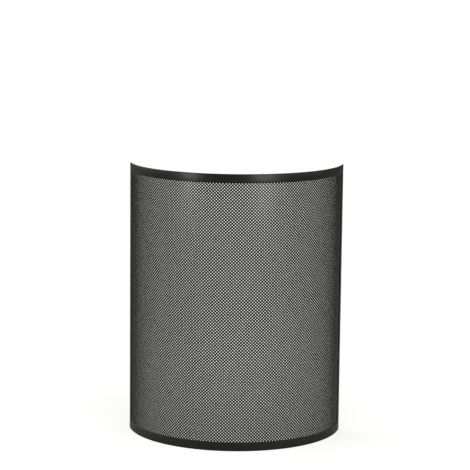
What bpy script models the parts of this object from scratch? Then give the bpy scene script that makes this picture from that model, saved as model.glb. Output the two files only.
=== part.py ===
"""Fireplace screen: a perforated steel sheet rolled to an arc, behind a frame of rolled flat bar.

Metres, +Z up. The screen bulges towards -Y and is open towards +Y. Its width lies along X, and the
origin is at the middle of its footprint, on the floor. Every part is a strip of the same upright
cylinder, whose axis passes through AXIS_Y.
"""

from math import cos, radians, tau

import bpy

# Driving dimensions
OUTER_RADIUS = 0.250  # outside face of the frame bars
HALF_ARC = radians(80.6)  # from the middle of the screen to either end
HEIGHT = 0.630
BAR_WIDTH = 0.021
BAR_THICKNESS = 0.002
BAR_EDGE = 0.0003  # the bars' rubbed-down edges
SHEET_THICKNESS = 0.0008
SHEET_SET_BACK = 0.003  # from the frame's outer edges to the sheet's, on all four sides
JOINT_GAP = 0.0003  # between pieces that touch
ARC_STEPS = 48  # around the whole arc

# Sizes that follow from them
BAR_ANGLE = BAR_WIDTH / OUTER_RADIUS
SET_BACK_ANGLE = SHEET_SET_BACK / OUTER_RADIUS
INNER_RADIUS = OUTER_RADIUS - BAR_THICKNESS
SHEET_RADIUS = INNER_RADIUS - JOINT_GAP
DEPTH = OUTER_RADIUS - INNER_RADIUS * cos(HALF_ARC)
AXIS_Y = OUTER_RADIUS - DEPTH / 2
FRONT = -tau / 4  # the direction from the axis to the middle of the screen


def clear_scene():
    for old in list(bpy.data.objects):
        bpy.data.objects.remove(old, do_unlink=True)


def make_collection(name):
    collection = bpy.data.collections.new(name)
    bpy.context.scene.collection.children.link(collection)
    return collection


def make_axis(collection):
    """The cylinder's axis, on the floor. Every part hangs from it."""
    axis = bpy.data.objects.new("arc_axis", None)
    axis.location = (0, AXIS_Y, 0)
    axis.empty_display_size = HEIGHT / 4
    collection.objects.link(axis)
    return axis


def satin_black(name, level, roughness):
    """Black powder coat. A painted surface isn't metallic, whatever is under it."""
    material = bpy.data.materials.new(name)
    material.use_nodes = True
    shader = material.node_tree.nodes["Principled BSDF"]
    shader.inputs["Base Color"].default_value = (level, level, 0.95 * level, 1)
    shader.inputs["Roughness"].default_value = roughness
    shader.inputs["Metallic"].default_value = 0.0
    material.diffuse_color = (level, level, level, 1)
    return material


def rolled_strip(name, radius, thickness, start, end, bottom, height, material, axis):
    """A flat strip on edge, rolled about the axis. Its outside face is at radius, and it runs from
    angle start to angle end, both counted from the middle of the screen, positive towards +X."""
    mesh = bpy.data.meshes.new(name)
    mesh.from_pydata([(radius, 0, height), (radius, 0, 0)], [(0, 1)], [])
    mesh.materials.append(material)
    strip = bpy.data.objects.new(name, mesh)
    axis.users_collection[0].objects.link(strip)
    strip.parent = axis
    strip.location.z = bottom
    strip.rotation_euler.z = FRONT + start

    roll = strip.modifiers.new("roll", "SCREW")
    roll.angle = end - start
    roll.steps = max(2, round(ARC_STEPS * (end - start) / (2 * HALF_ARC)))
    roll.render_steps = roll.steps
    roll.use_smooth_shade = True
    roll.use_merge_vertices = False

    wall = strip.modifiers.new("wall", "SOLIDIFY")
    wall.thickness = thickness
    wall.offset = -1  # the wall grows inwards from the rolled face
    wall.use_even_offset = True
    return strip


def frame_bar(*strip):
    """A rolled flat bar with its sharp edges taken off."""
    bar = rolled_strip(*strip)
    edges = bar.modifiers.new("edges", "BEVEL")
    edges.width = BAR_EDGE
    edges.segments = 1
    edges.limit_method = "ANGLE"
    edges.angle_limit = radians(40)
    return bar


def build_hoops(paint, axis):
    """The bars along the top and the bottom, each over the whole arc."""
    for name, bottom in (("top_hoop", HEIGHT - BAR_WIDTH), ("bottom_hoop", 0)):
        frame_bar(
            name, OUTER_RADIUS, BAR_THICKNESS, -HALF_ARC, HALF_ARC, bottom, BAR_WIDTH, paint, axis
        )


def build_uprights(paint, axis):
    """The bars up the two ends of the arc, butted between the hoops."""
    bottom = BAR_WIDTH + JOINT_GAP
    height = HEIGHT - 2 * bottom
    inner_end = HALF_ARC - BAR_ANGLE
    for name, start in (("left_upright", -HALF_ARC), ("right_upright", inner_end)):
        end = start + BAR_ANGLE
        frame_bar(name, OUTER_RADIUS, BAR_THICKNESS, start, end, bottom, height, paint, axis)


def build_sheet(paint, axis):
    """The perforated sheet, here without its holes, lapped behind all four bars."""
    half_arc = HALF_ARC - SET_BACK_ANGLE
    height = HEIGHT - 2 * SHEET_SET_BACK
    rolled_strip(
        "perforated_sheet",
        SHEET_RADIUS,
        SHEET_THICKNESS,
        -half_arc,
        half_arc,
        SHEET_SET_BACK,
        height,
        paint,
        axis,
    )


def main():
    clear_scene()
    axis = make_axis(make_collection("fireplace_screen"))
    bar_paint = satin_black("bar_powder_coat", 0.02, 0.42)
    build_hoops(bar_paint, axis)
    build_uprights(bar_paint, axis)
    build_sheet(satin_black("sheet_powder_coat", 0.02, 0.45), axis)


main()
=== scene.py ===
"""Fireplace screen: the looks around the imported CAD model. Metres, +Z up, camera on the -Y side.

The screen is one upright cylinder cut to an arc, so each piece is made flat and then rolled: x is
the distance along the arc from the middle of the screen, y the distance inwards from the frame's
outside face, and z the height.
"""

from math import cos, radians, sin, sqrt, tau

import bmesh
import bpy
import numpy as np
from mathutils import Matrix, Vector


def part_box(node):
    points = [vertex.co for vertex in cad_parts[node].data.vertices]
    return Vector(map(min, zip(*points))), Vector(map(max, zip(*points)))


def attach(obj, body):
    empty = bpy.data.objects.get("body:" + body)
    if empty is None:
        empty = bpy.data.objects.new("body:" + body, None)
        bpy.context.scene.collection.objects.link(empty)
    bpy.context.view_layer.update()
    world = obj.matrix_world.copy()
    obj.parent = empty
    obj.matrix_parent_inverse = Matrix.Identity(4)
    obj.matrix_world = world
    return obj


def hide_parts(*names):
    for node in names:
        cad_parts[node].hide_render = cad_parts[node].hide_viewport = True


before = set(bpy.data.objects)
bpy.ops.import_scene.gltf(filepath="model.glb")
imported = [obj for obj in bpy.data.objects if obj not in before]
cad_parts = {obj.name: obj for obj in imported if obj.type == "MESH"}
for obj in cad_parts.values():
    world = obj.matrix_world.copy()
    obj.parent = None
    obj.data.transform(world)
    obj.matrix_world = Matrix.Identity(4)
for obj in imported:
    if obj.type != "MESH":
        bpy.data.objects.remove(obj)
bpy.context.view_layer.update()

# The arc, as the CAD model has it
OUTER_RADIUS = 0.250
HALF_ARC = radians(80.6)
BAR_WIDTH = 0.021
BAR_THICKNESS = 0.002
SHEET_THICKNESS = 0.0008
SHEET_SET_BACK = 0.003
JOINT_GAP = 0.0003
AXIS = Vector((0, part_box("top_hoop")[0].y + OUTER_RADIUS, 0))
SHEET_DEPTH = BAR_THICKNESS + JOINT_GAP  # from the frame's outside face to the sheet's
SHEET_RADIUS = OUTER_RADIUS - SHEET_DEPTH
OPENING_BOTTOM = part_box("bottom_hoop")[1].z
OPENING_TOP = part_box("top_hoop")[0].z

# Every mesh
SHARP_ANGLE = radians(40)
MERGE_DISTANCE = 1e-6

# The bars, and the welds between them
EDGE_RADIUS = 0.0008
EDGE_SEGMENTS = 4
BAR_SEGMENT = 0.004  # along the arc
WELD_SINK = 0.0001  # the welds are ground almost flush
WELD_EDGE = 0.0002

# The perforation: a square pattern stood on its corner, which runs on a little way behind the bars
FIELD_LAP = 0.001
FIELD_HALF_ARC = HALF_ARC - (BAR_WIDTH - FIELD_LAP) / OUTER_RADIUS
FIELD_BOTTOM = OPENING_BOTTOM - FIELD_LAP
FIELD_TOP = OPENING_TOP + FIELD_LAP
CELL = 0.0071  # across one repeat, which holds two holes
HOLE_RADIUS = 0.00128
HOLE_SIDES = 12
RING_RADIUS = HOLE_RADIUS * sqrt(tau / (HOLE_SIDES * sin(tau / HOLE_SIDES)))  # for the same open area
PANELS = 7
COLUMNS = PANELS * round(2 * FIELD_HALF_ARC * SHEET_RADIUS / CELL / PANELS)
ROWS = round((FIELD_TOP - FIELD_BOTTOM) / CELL)
CELL_WIDTH = 2 * FIELD_HALF_ARC * SHEET_RADIUS / COLUMNS
CELL_HEIGHT = (FIELD_TOP - FIELD_BOTTOM) / ROWS
SIDE_MARGIN_GRID = (16, 60)  # columns and rows
END_MARGIN_GRID = (2 * COLUMNS, 4)

# The paint. A scale is in features per metre.
BAR_LEVEL = 0.008
BAR_ROUGHNESS = 0.37
SHEET_LEVEL = 0.006
SHEET_ROUGHNESS = 0.38
CLOUD_SCALE = 14
CLOUD_CONTRAST = 0.15
WARMTH = 0.05
GLOSS_SCALE = 60
GLOSS_SPREAD = 0.03
PEEL_SCALE = 1400
PEEL_DEPTH = 0.00004
PEEL_STRENGTH = 0.35
NOISE_RANGE = (0.3, 0.7)  # where nearly all of a noise's values lie


def new_object(name, mesh):
    piece = bpy.data.objects.new(name, mesh)
    bpy.context.scene.collection.objects.link(piece)
    return piece


def roll(mesh, radius):
    """Bends a flat mesh onto the cylinder. Its x is measured along the arc of that radius."""
    points = np.empty(len(mesh.vertices) * 3)
    mesh.vertices.foreach_get("co", points)
    x, y, z = points.reshape(-1, 3).T
    angle = x / radius
    reach = OUTER_RADIUS - y
    rolled = np.column_stack((AXIS.x + reach * np.sin(angle), AXIS.y - reach * np.cos(angle), z))
    mesh.vertices.foreach_set("co", rolled.ravel())
    mesh.update()


def applied(piece):
    """The piece with its modifiers made part of its mesh."""
    graph = bpy.context.evaluated_depsgraph_get()
    mesh = bpy.data.meshes.new_from_object(piece.evaluated_get(graph))
    name = piece.name
    bpy.data.objects.remove(piece)
    mesh.name = name
    return new_object(name, mesh)


def smooth(mesh):
    mesh.shade_smooth()
    mesh.set_sharp_from_angle(angle=SHARP_ANGLE)


def place(piece, node, material):
    """Paints a piece and fixes it to the frame. It stands for that CAD node, or for none."""
    piece.data.materials.clear()
    piece.data.materials.append(material)
    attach(piece, "root")
    if node:
        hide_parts(node)


# Frame


def flat_bar(name, left, right, bottom, top, sink=0, edge=EDGE_RADIUS):
    """A length of flat bar with rounded edges, rolled to the arc, its faces sunk below the frame's."""
    bm = bmesh.new()
    bmesh.ops.create_cube(bm, size=1)
    size = Vector((right - left, BAR_THICKNESS - 2 * sink, top - bottom))
    centre = Vector(((left + right) / 2, BAR_THICKNESS / 2, (bottom + top) / 2))
    stretch = Matrix.Translation(centre) @ Matrix.Diagonal((*size, 1))
    bmesh.ops.transform(bm, matrix=stretch, verts=bm.verts)
    bmesh.ops.bevel(
        bm, geom=bm.edges[:], offset=edge, segments=EDGE_SEGMENTS, affect="EDGES", profile=0.5
    )
    cuts = round(size.x / BAR_SEGMENT)
    for cut in range(1, cuts):
        everything = bm.verts[:] + bm.edges[:] + bm.faces[:]
        at = Vector((left + size.x * cut / cuts, 0, 0))
        bmesh.ops.bisect_plane(bm, geom=everything, plane_co=at, plane_no=(1, 0, 0))
    mesh = bpy.data.meshes.new(name)
    bm.to_mesh(mesh)
    bm.free()
    roll(mesh, OUTER_RADIUS)
    smooth(mesh)
    return new_object(name, mesh)


def build_frame(paint):
    half = HALF_ARC * OUTER_RADIUS
    inner = half - BAR_WIDTH
    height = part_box("top_hoop")[1].z
    bars = {
        "top_hoop": ("top_band", -half, half, OPENING_TOP, height),
        "bottom_hoop": ("bottom_band", -half, half, 0, OPENING_BOTTOM),
        "left_upright": ("left_stile", -half, -inner, OPENING_BOTTOM, OPENING_TOP),
        "right_upright": ("right_stile", inner, half, OPENING_BOTTOM, OPENING_TOP),
    }
    for node, bar in bars.items():
        place(flat_bar(*bar), node, paint)


def build_welds(paint):
    """The butt welds between the hoops and the uprights, which fill the groove that their edges leave."""
    far = HALF_ARC * OUTER_RADIUS - EDGE_RADIUS
    near = HALF_ARC * OUTER_RADIUS - BAR_WIDTH + EDGE_RADIUS
    for side, left, right in (("left", -far, -near), ("right", near, far)):
        for level, joint in (("bottom", OPENING_BOTTOM), ("top", OPENING_TOP)):
            name = f"{level}_{side}_weld"
            low, high = joint - EDGE_RADIUS, joint + EDGE_RADIUS
            weld = flat_bar(name, left, right, low, high, sink=WELD_SINK, edge=WELD_EDGE)
            place(weld, None, paint)


# Perforated sheet


def holed_quarter(bm, left, bottom, width, height):
    """A rectangle with a round hole in the middle, as one face for each of its sides."""
    centre = Vector((left + width / 2, SHEET_DEPTH, bottom + height / 2))
    corners = []
    ring = []
    for turn in range(4):
        angle = radians(45) + turn * tau / 4
        reach = Vector((width * cos(angle), 0, height * sin(angle))) / (2 * cos(radians(45)))
        corners.append(bm.verts.new(centre + reach))
    for step in range(HOLE_SIDES):
        angle = radians(45) + step * tau / HOLE_SIDES
        ring.append(bm.verts.new(centre + RING_RADIUS * Vector((cos(angle), 0, sin(angle)))))
    side = HOLE_SIDES // 4
    for turn in range(4):
        rim = [ring[(turn * side + step) % HOLE_SIDES] for step in range(side, -1, -1)]
        bm.faces.new([corners[turn], corners[(turn + 1) % 4], *rim])


def plain_quarter(bm, left, bottom, width, height):
    right, top = left + width, bottom + height
    corners = ((right, bottom), (right, top), (left, top), (left, bottom))
    bm.faces.new([bm.verts.new((x, SHEET_DEPTH, z)) for x, z in corners])


def pattern_cell():
    """One repeat of the pattern: four quarters, two of them with a hole."""
    width, height = CELL_WIDTH / 2, CELL_HEIGHT / 2
    bm = bmesh.new()
    for column in range(2):
        for row in range(2):
            quarter = holed_quarter if column == row else plain_quarter
            quarter(bm, column * width, FIELD_BOTTOM + row * height, width, height)
    bmesh.ops.remove_doubles(bm, verts=bm.verts, dist=MERGE_DISTANCE)
    bmesh.ops.recalc_face_normals(bm, faces=bm.faces)
    mesh = bpy.data.meshes.new("pattern_cell")
    bm.to_mesh(mesh)
    bm.free()
    return new_object("pattern_cell", mesh)


def repeat(piece, count, step):
    """An Array whose copies share their edges."""
    copies = piece.modifiers.new("copies", "ARRAY")
    copies.count = count
    copies.use_relative_offset = False
    copies.use_constant_offset = True
    copies.constant_offset_displace = step
    copies.use_merge_vertices = True
    copies.merge_threshold = MERGE_DISTANCE


def thicken(piece):
    wall = piece.modifiers.new("wall", "SOLIDIFY")
    wall.thickness = SHEET_THICKNESS
    wall.offset = -1


def perforated_panel():
    """A flat stretch of the perforated sheet, starting at x = 0."""
    cell = pattern_cell()
    repeat(cell, COLUMNS // PANELS, (CELL_WIDTH, 0, 0))
    repeat(cell, ROWS, (0, 0, CELL_HEIGHT))
    thicken(cell)
    return applied(cell)


def build_panels(paint):
    flat = perforated_panel()
    width = CELL_WIDTH * COLUMNS / PANELS
    for number in range(PANELS):
        mesh = flat.data.copy()
        left = (number - PANELS / 2) * width
        mesh.transform(Matrix.Translation((left, 0, 0)))
        roll(mesh, SHEET_RADIUS)
        smooth(mesh)
        panel = new_object(f"perforated_panel_{number + 1}", mesh)
        place(panel, "perforated_sheet", paint)
    bpy.data.objects.remove(flat)


def sheet_margin(name, left, right, bottom, top, grid):
    """A plain strip at the edge of the sheet, lapped behind a bar."""
    bm = bmesh.new()
    columns, rows = grid
    bmesh.ops.create_grid(bm, x_segments=columns, y_segments=rows, size=0.5)
    stand = Matrix.Rotation(radians(90), 4, "X")
    size = Matrix.Diagonal((right - left, 1, top - bottom, 1))
    shift = Matrix.Translation(((left + right) / 2, SHEET_DEPTH, (bottom + top) / 2))
    bmesh.ops.transform(bm, matrix=shift @ size @ stand, verts=bm.verts)
    mesh = bpy.data.meshes.new(name)
    bm.to_mesh(mesh)
    bm.free()
    piece = new_object(name, mesh)
    thicken(piece)
    piece = applied(piece)
    roll(piece.data, SHEET_RADIUS)
    smooth(piece.data)
    return piece


def build_margins(paint):
    inner = FIELD_HALF_ARC * SHEET_RADIUS
    outer = (HALF_ARC - SHEET_SET_BACK / OUTER_RADIUS) * SHEET_RADIUS
    low, high = (corner.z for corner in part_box("perforated_sheet"))
    strips = (
        ("sheet_margin_left", -outer, -inner, low, high, SIDE_MARGIN_GRID),
        ("sheet_margin_right", inner, outer, low, high, SIDE_MARGIN_GRID),
        ("sheet_margin_bottom", -inner, inner, low, FIELD_BOTTOM, END_MARGIN_GRID),
        ("sheet_margin_top", -inner, inner, FIELD_TOP, high, END_MARGIN_GRID),
    )
    for strip in strips:
        place(sheet_margin(*strip), "perforated_sheet", paint)


# Materials


def link(tree, source, output, target, socket):
    tree.links.new(source.outputs[output], target.inputs[socket])


def map_range(tree, value, from_low, from_high, to_low, to_high):
    """A socket with the value, mapped from one range to another and held within it."""
    node = tree.nodes.new("ShaderNodeMapRange")
    for socket, number in (
        ("From Min", from_low), ("From Max", from_high), ("To Min", to_low), ("To Max", to_high)
    ):
        node.inputs[socket].default_value = number
    tree.links.new(value, node.inputs["Value"])
    return node.outputs["Result"]


def noise(tree, coordinates, scale, detail):
    texture = tree.nodes.new("ShaderNodeTexNoise")
    texture.inputs["Scale"].default_value = scale
    texture.inputs["Detail"].default_value = detail
    link(tree, coordinates, "Object", texture, "Vector")
    return texture


def spread(tree, texture, low, high):
    """A socket with a noise, spread from low to high."""
    return map_range(tree, texture.outputs["Fac"], *NOISE_RANGE, low, high)


def warm_black(level, share):
    """That share of the paint's level, a little weaker in its blue."""
    return (share * level, share * level, (share - WARMTH) * level, 1)


def powder_coat(name, level, roughness):
    """Satin black powder coat: fine orange peel, with slight clouding in its colour and gloss."""
    material = bpy.data.materials.new(name)
    material.use_nodes = True
    tree = material.node_tree
    shader = tree.nodes["Principled BSDF"]
    shader.inputs["Specular IOR Level"].default_value = 0.5
    where = tree.nodes.new("ShaderNodeTexCoord")
    clouds = noise(tree, where, CLOUD_SCALE, detail=3)
    colour = tree.nodes.new("ShaderNodeMix")
    colour.data_type = "RGBA"
    colour.inputs["A"].default_value = warm_black(level, 1 - CLOUD_CONTRAST)
    colour.inputs["B"].default_value = warm_black(level, 1 + CLOUD_CONTRAST)
    tree.links.new(spread(tree, clouds, 0, 1), colour.inputs["Factor"])
    link(tree, colour, "Result", shader, "Base Color")
    gloss = noise(tree, where, GLOSS_SCALE, detail=4)
    rough = spread(tree, gloss, roughness - GLOSS_SPREAD, roughness + GLOSS_SPREAD)
    tree.links.new(rough, shader.inputs["Roughness"])
    peel = noise(tree, where, PEEL_SCALE, detail=2)
    bump = tree.nodes.new("ShaderNodeBump")
    bump.inputs["Strength"].default_value = PEEL_STRENGTH
    bump.inputs["Distance"].default_value = PEEL_DEPTH
    link(tree, peel, "Fac", bump, "Height")
    link(tree, bump, "Normal", shader, "Normal")
    return material


# Studio

CAMERA_AZIMUTH = radians(-1.05)
CAMERA_DISTANCE = 4.488  # from the arc's axis
CAMERA_HEIGHT = 1.1575
CAMERA_PITCH = radians(-8.8955)
CAMERA_ROLL = radians(0.593)
CAMERA_YAW = radians(0.026)
LENS = 148.25
SENSOR_WIDTH = 36
CLIP_END = 200

# The floor as the camera sees it
FLOOR_RADIUS = 60
FLOOR_SIDES = 128
# Painted shade: the floor glows less close to the screen, so it is darker there than its lighting alone
# makes it.
FLOOR_GLOW = (0.72, 0.82)  # the share of its brightness that no shadow reaches, close by and further off
GLOW_REACH = (0.22, 0.8)  # the distances from the screen between which the one gives way to the other
FLOOR_SHADING = 0.6

# The floor as it lights the screen: white paper, which gives way to the dark studio
PAPER_CENTRE = (0, 2.0, 0)
PAPER_REACH = (2.4, 6.0)  # the distances from that centre where it starts to, and where it has
PAPER_BOUNCE = 0.75
STUDIO_BOUNCE = 0.05

# The walls of the studio, by direction from the front and brightness
WALLS = ((radians(-110), 1.5), (radians(74), 1.05), (0, 0.1), (radians(180), 0.12))
WALL_FOCUS = 3  # how fast a wall's brightness falls to either side
STUDIO_AMBIENT = 0.10
BACKDROP_LEVEL = 1.02
STUDIO_COLOUR = (1.0, 1.02, 0.95)  # of everything that lights the screen

# The lights. A face angle is counted round the screen from its middle, positive towards +X.
HIGHLIGHT_DISTANCE = 0.5  # from the screen's face
HIGHLIGHT_HEIGHT = 0.60
HIGHLIGHT_TALL = 0.12
LEFT_HIGHLIGHT = {"face_angle": radians(-25.8), "width": 0.14, "power": 0.43}
RIGHT_HIGHLIGHT = {"face_angle": radians(13.8), "width": 0.18, "power": 0.51}
TOP_LIGHT_TARGET = Vector((0, -0.9, 0))
TOP_LIGHT_HEIGHT = 1.3
TOP_LIGHT_SIZE = (1.2, 0.6)
TOP_LIGHT_POWER = 6.0


def build_camera():
    data = bpy.data.cameras.new("camera")
    data.lens = LENS
    data.sensor_width = SENSOR_WIDTH
    data.clip_end = CLIP_END
    camera = bpy.data.objects.new("camera", data)
    bpy.context.scene.collection.objects.link(camera)
    turn = Matrix.Rotation(CAMERA_AZIMUTH, 4, "Z")
    stand = Matrix.Translation((0, -CAMERA_DISTANCE, CAMERA_HEIGHT))
    yaw = Matrix.Rotation(CAMERA_YAW, 4, "Z")
    pitch = Matrix.Rotation(radians(90) + CAMERA_PITCH, 4, "X")
    roll_over = Matrix.Rotation(CAMERA_ROLL, 4, "Z")
    camera.matrix_world = Matrix.Translation(AXIS) @ turn @ stand @ yaw @ pitch @ roll_over
    bpy.context.scene.camera = camera


def calculate(tree, operation, first, second):
    """The result of a Math node on a socket and a socket or a number."""
    node = tree.nodes.new("ShaderNodeMath")
    node.operation = operation
    tree.links.new(first, node.inputs[0])
    if isinstance(second, bpy.types.NodeSocket):
        tree.links.new(second, node.inputs[1])
    else:
        node.inputs[1].default_value = second
    return node.outputs[0]


def distance_from(tree, point):
    """A socket with the distance along the floor from a point."""
    where = tree.nodes.new("ShaderNodeTexCoord")
    away = tree.nodes.new("ShaderNodeVectorMath")
    away.operation = "DISTANCE"
    away.inputs[1].default_value = point
    link(tree, where, "Object", away, 0)
    return away.outputs["Value"]


def seen_by_camera(tree):
    """A socket that is 1 for what the camera sees directly, and 0 for what lights the screen."""
    return tree.nodes.new("ShaderNodeLightPath").outputs["Is Camera Ray"]


def floor_paper():
    """White paper, lit and glowing to just past white where the camera sees it, as in a cut-out studio
    photograph.
    """
    material = bpy.data.materials.new("floor_paper")
    material.use_nodes = True
    tree = material.node_tree
    tree.nodes.clear()
    dim = tree.nodes.new("ShaderNodeBsdfDiffuse")
    from_centre = distance_from(tree, PAPER_CENTRE)
    bounce = map_range(tree, from_centre, *PAPER_REACH, PAPER_BOUNCE, STUDIO_BOUNCE)
    tree.links.new(bounce, dim.inputs["Color"])
    bright = tree.nodes.new("ShaderNodeBsdfDiffuse")
    bright.inputs["Color"].default_value = (FLOOR_SHADING, FLOOR_SHADING, FLOOR_SHADING, 1)
    glow = tree.nodes.new("ShaderNodeEmission")
    # Painted shade: the glow is weaker close to the screen, so the floor seen near it is darker.
    strength = map_range(tree, distance_from(tree, (0, 0, 0)), *GLOW_REACH, *FLOOR_GLOW)
    tree.links.new(strength, glow.inputs["Strength"])
    lit = tree.nodes.new("ShaderNodeAddShader")
    tree.links.new(bright.outputs[0], lit.inputs[0])
    tree.links.new(glow.outputs[0], lit.inputs[1])
    either = tree.nodes.new("ShaderNodeMixShader")
    tree.links.new(seen_by_camera(tree), either.inputs["Fac"])
    tree.links.new(dim.outputs[0], either.inputs[1])
    tree.links.new(lit.outputs[0], either.inputs[2])
    output = tree.nodes.new("ShaderNodeOutputMaterial")
    tree.links.new(either.outputs[0], output.inputs["Surface"])
    return material


def build_floor():
    bm = bmesh.new()
    bmesh.ops.create_circle(bm, cap_ends=True, segments=FLOOR_SIDES, radius=FLOOR_RADIUS)
    mesh = bpy.data.meshes.new("floor")
    bm.to_mesh(mesh)
    bm.free()
    mesh.materials.append(floor_paper())
    new_object("floor", mesh)


def wall(tree, direction, azimuth, level):
    """A socket with what a pale wall on that side of the studio adds to the world's brightness."""
    facing = tree.nodes.new("ShaderNodeVectorMath")
    facing.operation = "DOT_PRODUCT"
    facing.inputs[1].default_value = (sin(azimuth), -cos(azimuth), 0)
    tree.links.new(direction, facing.inputs[0])
    ahead = map_range(tree, facing.outputs["Value"], 0, 1, 0, 1)
    return calculate(tree, "MULTIPLY", calculate(tree, "POWER", ahead, WALL_FOCUS), level)


def build_world():
    """A white backdrop for the camera, and a dim studio for the screen to reflect."""
    world = bpy.data.worlds.new("studio")
    world.use_nodes = True
    bpy.context.scene.world = world
    tree = world.node_tree
    direction = tree.nodes.new("ShaderNodeTexCoord")
    studio = STUDIO_AMBIENT
    for azimuth, brightness in WALLS:
        lit = wall(tree, direction.outputs["Generated"], azimuth, brightness)
        studio = calculate(tree, "ADD", lit, studio)
    level = tree.nodes.new("ShaderNodeMix")
    tree.links.new(seen_by_camera(tree), level.inputs["Factor"])
    tree.links.new(studio, level.inputs["A"])
    level.inputs["B"].default_value = BACKDROP_LEVEL
    tree.links.new(level.outputs["Result"], tree.nodes["Background"].inputs["Strength"])
    tint = tree.nodes.new("ShaderNodeMix")
    tint.data_type = "RGBA"
    tint.inputs["A"].default_value = (*STUDIO_COLOUR, 1)
    tint.inputs["B"].default_value = (1, 1, 1, 1)
    tree.links.new(seen_by_camera(tree), tint.inputs["Factor"])
    tree.links.new(tint.outputs["Result"], tree.nodes["Background"].inputs["Color"])


def area_light(name, location, target, size, power):
    """A soft light of that width and height, which the camera doesn't see."""
    data = bpy.data.lights.new(name, "AREA")
    data.shape = "RECTANGLE"
    data.size, data.size_y = size
    data.energy = power
    data.color = STUDIO_COLOUR
    light = bpy.data.objects.new(name, data)
    light.visible_camera = False
    light.location = location
    light.rotation_euler = (location - target).to_track_quat("Z", "Y").to_euler()
    bpy.context.scene.collection.objects.link(light)


def highlight_light(name, face_angle, width, power):
    """A small softbox that the camera sees reflected at that angle of the screen's face."""
    face = AXIS + OUTER_RADIUS * Vector((sin(face_angle), -cos(face_angle), 0))
    mirrored = 2 * face_angle - CAMERA_AZIMUTH
    out = Vector((sin(mirrored), -cos(mirrored), 0))
    location = face + HIGHLIGHT_DISTANCE * out + Vector((0, 0, HIGHLIGHT_HEIGHT))
    target = face + Vector((0, 0, OPENING_TOP))
    area_light(name, location, target, (width, HIGHLIGHT_TALL), power)


def build_studio():
    build_camera()
    build_floor()
    build_world()
    highlight_light("left_softbox", **LEFT_HIGHLIGHT)
    highlight_light("right_softbox", **RIGHT_HIGHLIGHT)
    above = TOP_LIGHT_TARGET + Vector((0, 0, TOP_LIGHT_HEIGHT))
    area_light("top_softbox", above, TOP_LIGHT_TARGET, TOP_LIGHT_SIZE, TOP_LIGHT_POWER)
    bpy.context.scene.view_settings.view_transform = "Standard"


bar_paint = powder_coat("bar_powder_coat", BAR_LEVEL, BAR_ROUGHNESS)
build_frame(bar_paint)
build_welds(bar_paint)
sheet_paint = powder_coat("sheet_powder_coat", SHEET_LEVEL, SHEET_ROUGHNESS)
build_panels(sheet_paint)
build_margins(sheet_paint)
build_studio()
